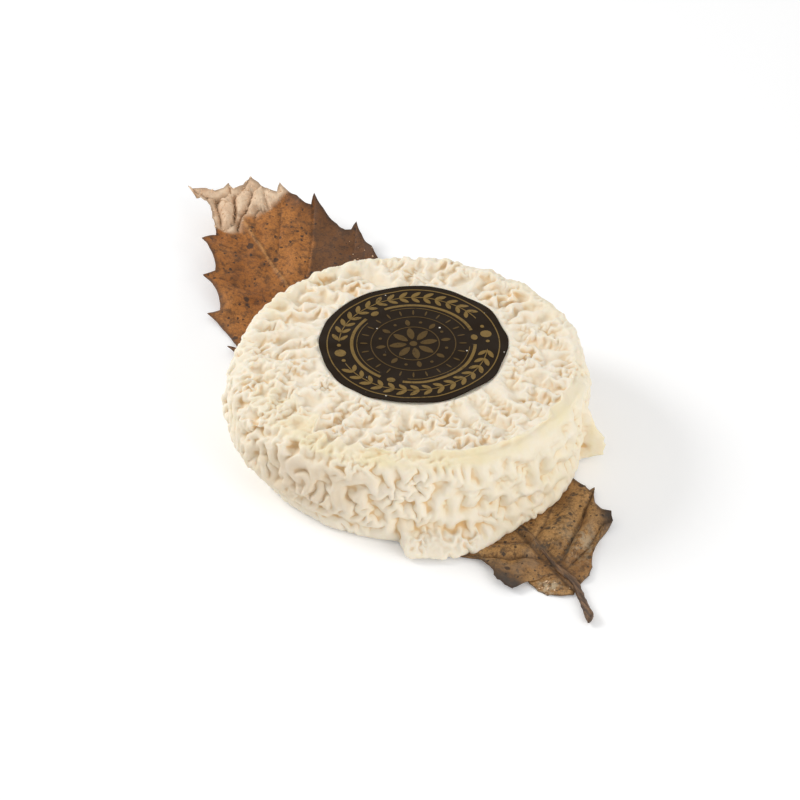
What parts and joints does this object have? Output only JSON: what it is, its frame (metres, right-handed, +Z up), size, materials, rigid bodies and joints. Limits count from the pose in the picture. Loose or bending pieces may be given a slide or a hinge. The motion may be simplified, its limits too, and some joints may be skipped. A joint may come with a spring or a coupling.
{
  "type": "goat cheese on a leaf",
  "caption": "Small round goat cheese with a wrinkled rind and a round paper label on top, lying on a dry toothed leaf; food to show, hand over or cut.",
  "frame": {"origin": "on the floor, under the middle of the whole object's box", "axes": "+Z up, +Y to the back, +X to the right; the leaf's tip points to the back left and its stalk to the front right"},
  "size_m": [0.1292, 0.1928, 0.0293],
  "materials": {
    "rind": "warm white wrinkled rind, soft and matte",
    "label_paper": "coated black paper with dull gold print",
    "dry_leaf": "dry brown leaf with dark spots"
  },
  "bodies": {
    "root": {"cheese": "rind", "label": "label_paper", "leaf": "dry_leaf"}
  },
  "joints": []
}
